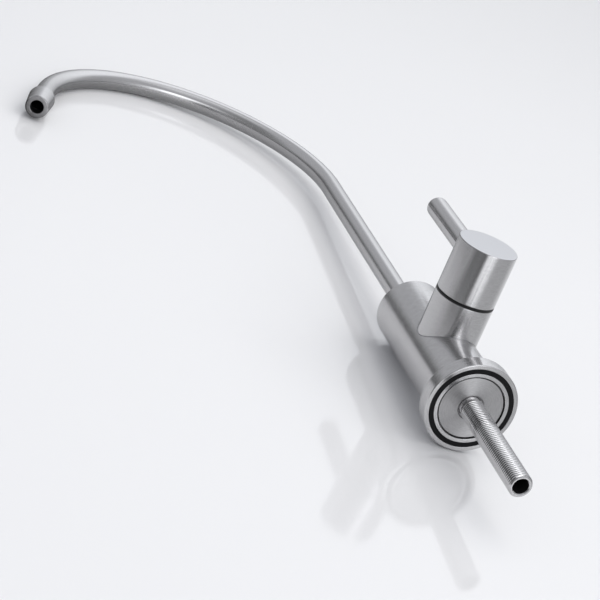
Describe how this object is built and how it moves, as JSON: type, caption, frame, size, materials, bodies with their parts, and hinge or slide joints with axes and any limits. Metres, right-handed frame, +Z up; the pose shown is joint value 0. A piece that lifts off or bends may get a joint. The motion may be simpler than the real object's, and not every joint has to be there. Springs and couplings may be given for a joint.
{
  "type": "drinking water filter tap",
  "caption": "Counter-top filter tap in brushed steel: swivelling gooseneck spout, side lever on a quarter-turn ceramic valve, round base flange with gasket and hollow threaded stem.",
  "frame": {"origin": "centre of the base flange's underside, in the plane of the worktop, on the axis of the hollow stem", "axes": "+Z up along the body and the stem, +X along the side branch and the handle's turning axis, -Y the way the spout reaches at rest"},
  "size_m": [0.0741, 0.1795, 0.3583],
  "materials": {
    "brushed_steel": "fine brushed, satin",
    "plain_steel": "turned and thread-cut",
    "brass": "machined",
    "black_rubber": "moulded, matt",
    "black_plastic": "moulded, satin",
    "white_plastic": "moulded, matt",
    "ceramic": "lapped alumina ceramic"
  },
  "bodies": {
    "tap_body": {"body": "brushed_steel", "branch_stub": "brushed_steel", "base_flange": "brushed_steel", "base_gasket": "black_rubber", "threaded_stem": "plain_steel", "stem_seal": "black_rubber", "valve_housing": "brass", "housing_o_ring": "black_rubber", "seat_seal": "black_rubber", "fixed_disc": "ceramic", "handle_ring": "black_plastic", "spout_bearing": "white_plastic"},
    "handle": {"moving_disc": "ceramic", "spindle": "brass", "thrust_washer": "white_plastic", "spindle_o_rings": "black_rubber", "spindle_circlip": "plain_steel", "spline_bush": "brass", "handle_knob": "brushed_steel", "handle_lever": "brushed_steel", "lever_stud": "plain_steel"},
    "spout": {"spout_tube": "brushed_steel", "spout_sleeve": "brushed_steel", "spout_o_rings": "black_rubber", "spout_snap_ring": "plain_steel", "nozzle": "brushed_steel"}
  },
  "joints": [
    {"name": "handle_turn", "type": "hinge", "parent": "tap_body", "child": "handle", "pos_m": [0, 0, 0.0445], "axis": [1, 0, 0], "range_deg": [0, 90]},
    {"name": "spout_swivel", "type": "hinge", "parent": "tap_body", "child": "spout", "pos_m": [0, 0, 0], "axis": [0, 0, 1], "continuous": true}
  ]
}
